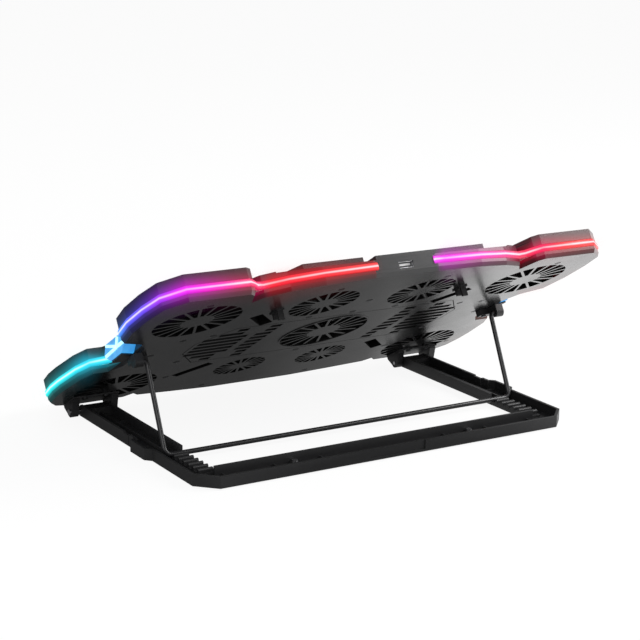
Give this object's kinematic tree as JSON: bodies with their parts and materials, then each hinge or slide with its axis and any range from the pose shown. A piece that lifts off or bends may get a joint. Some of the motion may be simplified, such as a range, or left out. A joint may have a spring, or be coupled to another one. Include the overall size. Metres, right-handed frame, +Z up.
{
  "type": "laptop cooling pad",
  "caption": "Lit multi-fan laptop cooling deck on a U-shaped folding stand with a wire bail and height notches.",
  "frame": {"origin": "on the table, under the centre of the box around the whole pad as it stands at rest", "axes": "+X to the right of a user in front of the pad, -Y towards the user, +Z up; the deck rises towards +Y"},
  "size_m": [0.414, 0.252, 0.1657],
  "materials": {
    "black_plastic": "fine matte, moulded",
    "button_grey": "satin",
    "circuit_board": "solder mask",
    "deck_plastic": "satin, lightly reflecting",
    "display_black": "polished",
    "fan_plastic": "moulded",
    "lead_red": "insulated wire",
    "light_blue": "milky diffuser, lit",
    "light_cyan": "milky diffuser, lit",
    "light_magenta": "milky diffuser, lit",
    "light_red": "milky diffuser, lit",
    "light_violet": "milky diffuser, lit",
    "mesh_steel": "matte black powder coat",
    "motor_can": "moulded",
    "pin_steel": "bright",
    "rubber": "matte",
    "screw_steel": "black zinc",
    "tape_white": "flexible circuit tape",
    "usb_plate": "tin plated",
    "usb_white": "moulded",
    "wire_steel": "black lacquer over steel wire"
  },
  "bodies": {
    "base": {"base_frame": "black_plastic", "base_feet": "rubber", "base_screws": "pin_steel"},
    "deck": {"hinge_pins": "pin_steel", "hinge_bracket_left": "black_plastic", "hinge_bracket_right": "black_plastic", "bail_bracket_left": "black_plastic", "bail_bracket_right": "black_plastic", "bracket_screws": "screw_steel", "bottom_cover": "deck_plastic", "top_cover": "deck_plastic", "cover_screws": "screw_steel", "mesh_plate": "mesh_steel", "grip_pads": "rubber", "strip_front_left": "light_red", "strip_front_right": "light_cyan", "strip_rear_left": "light_red", "strip_rear_right": "light_violet", "strip_centre_left": "light_magenta", "strip_centre_right": "light_red", "side_light_left": "light_blue", "side_light_right": "light_blue", "led_tape_left": "tape_white", "led_tape_right": "tape_white", "motor_rear_left": "motor_can", "motor_rear_right": "motor_can", "motor_mid_left": "motor_can", "motor_mid_right": "motor_can", "motor_centre": "motor_can", "motor_small_left": "motor_can", "motor_small_right": "motor_can", "motor_front_left": "motor_can", "motor_front_right": "motor_can", "control_board": "circuit_board", "usb_shell": "usb_plate", "usb_tongue": "usb_white", "display_window": "display_black", "stopper_pins": "pin_steel", "bail_clips": "black_plastic", "fan_leads": "lead_red"},
    "bail": {"wire_bail": "wire_steel"},
    "stopper_left": {"stopper_left": "black_plastic"},
    "stopper_right": {"stopper_right": "black_plastic"},
    "button_fan": {"button_fan": "button_grey"},
    "button_light": {"button_light": "button_grey"},
    "fan_rear_left": {"rotor_rear_left": "fan_plastic"},
    "fan_rear_right": {"rotor_rear_right": "fan_plastic"},
    "fan_mid_left": {"rotor_mid_left": "fan_plastic"},
    "fan_mid_right": {"rotor_mid_right": "fan_plastic"},
    "fan_centre": {"rotor_centre": "fan_plastic"},
    "fan_small_left": {"rotor_small_left": "fan_plastic"},
    "fan_small_right": {"rotor_small_right": "fan_plastic"},
    "fan_front_left": {"rotor_front_left": "fan_plastic"},
    "fan_front_right": {"rotor_front_right": "fan_plastic"}
  },
  "joints": [
    {"name": "deck_tilt", "type": "hinge", "parent": "base", "child": "deck", "pos_m": [0, -0.09273, 0.0054], "axis": [1, 0, 0], "range_deg": [0, 58.7]},
    {"name": "bail_fold", "type": "hinge", "parent": "deck", "child": "bail", "pos_m": [0, 0.01529, 0.0747], "axis": [1, 0, 0], "range_deg": [0, 95.97]},
    {"name": "stopper_flip_left", "type": "hinge", "parent": "deck", "child": "stopper_left", "pos_m": [0, -0.10284, 0.02781], "axis": [1, 0, 0], "range_deg": [0, 90]},
    {"name": "stopper_flip_right", "type": "hinge", "parent": "deck", "child": "stopper_right", "pos_m": [0, -0.10284, 0.02781], "axis": [1, 0, 0], "range_deg": [0, 90]},
    {"name": "button_fan_press", "type": "slide", "parent": "deck", "child": "button_fan", "axis": [0, 0.5195, -0.8545], "range_m": [0, 0.0008]},
    {"name": "button_light_press", "type": "slide", "parent": "deck", "child": "button_light", "axis": [0, 0.5195, -0.8545], "range_m": [0, 0.0008]},
    {"name": "fan_spin_rear_left", "type": "hinge", "parent": "deck", "child": "fan_rear_left", "pos_m": [-0.1553, 0.07144, 0.12499], "axis": [0, -0.5195, 0.8545], "continuous": true},
    {"name": "fan_spin_rear_right", "type": "hinge", "parent": "deck", "child": "fan_rear_right", "pos_m": [0.1553, 0.07144, 0.12499], "axis": [0, -0.5195, 0.8545], "continuous": true},
    {"name": "fan_spin_mid_left", "type": "hinge", "parent": "deck", "child": "fan_mid_left", "pos_m": [-0.0462, 0.07597, 0.12774], "axis": [0, -0.5195, 0.8545], "continuous": true},
    {"name": "fan_spin_mid_right", "type": "hinge", "parent": "deck", "child": "fan_mid_right", "pos_m": [0.0462, 0.07597, 0.12774], "axis": [0, -0.5195, 0.8545], "continuous": true},
    {"name": "fan_spin_centre", "type": "hinge", "parent": "deck", "child": "fan_centre", "pos_m": [0, 0.00299, 0.08338], "axis": [0, -0.5195, 0.8545], "continuous": true},
    {"name": "fan_spin_small_left", "type": "hinge", "parent": "deck", "child": "fan_small_left", "pos_m": [-0.0407, -0.06562, 0.04166], "axis": [0, -0.5195, 0.8545], "continuous": true},
    {"name": "fan_spin_small_right", "type": "hinge", "parent": "deck", "child": "fan_small_right", "pos_m": [0.0407, -0.06562, 0.04166], "axis": [0, -0.5195, 0.8545], "continuous": true},
    {"name": "fan_spin_front_left", "type": "hinge", "parent": "deck", "child": "fan_front_left", "pos_m": [-0.1523, -0.07562, 0.03558], "axis": [0, -0.5195, 0.8545], "continuous": true},
    {"name": "fan_spin_front_right", "type": "hinge", "parent": "deck", "child": "fan_front_right", "pos_m": [0.1523, -0.07562, 0.03558], "axis": [0, -0.5195, 0.8545], "continuous": true}
  ],
  "couplings": [
    {"joint": "bail_fold", "follows": "deck_tilt", "ratio": 1.6349}
  ]
}
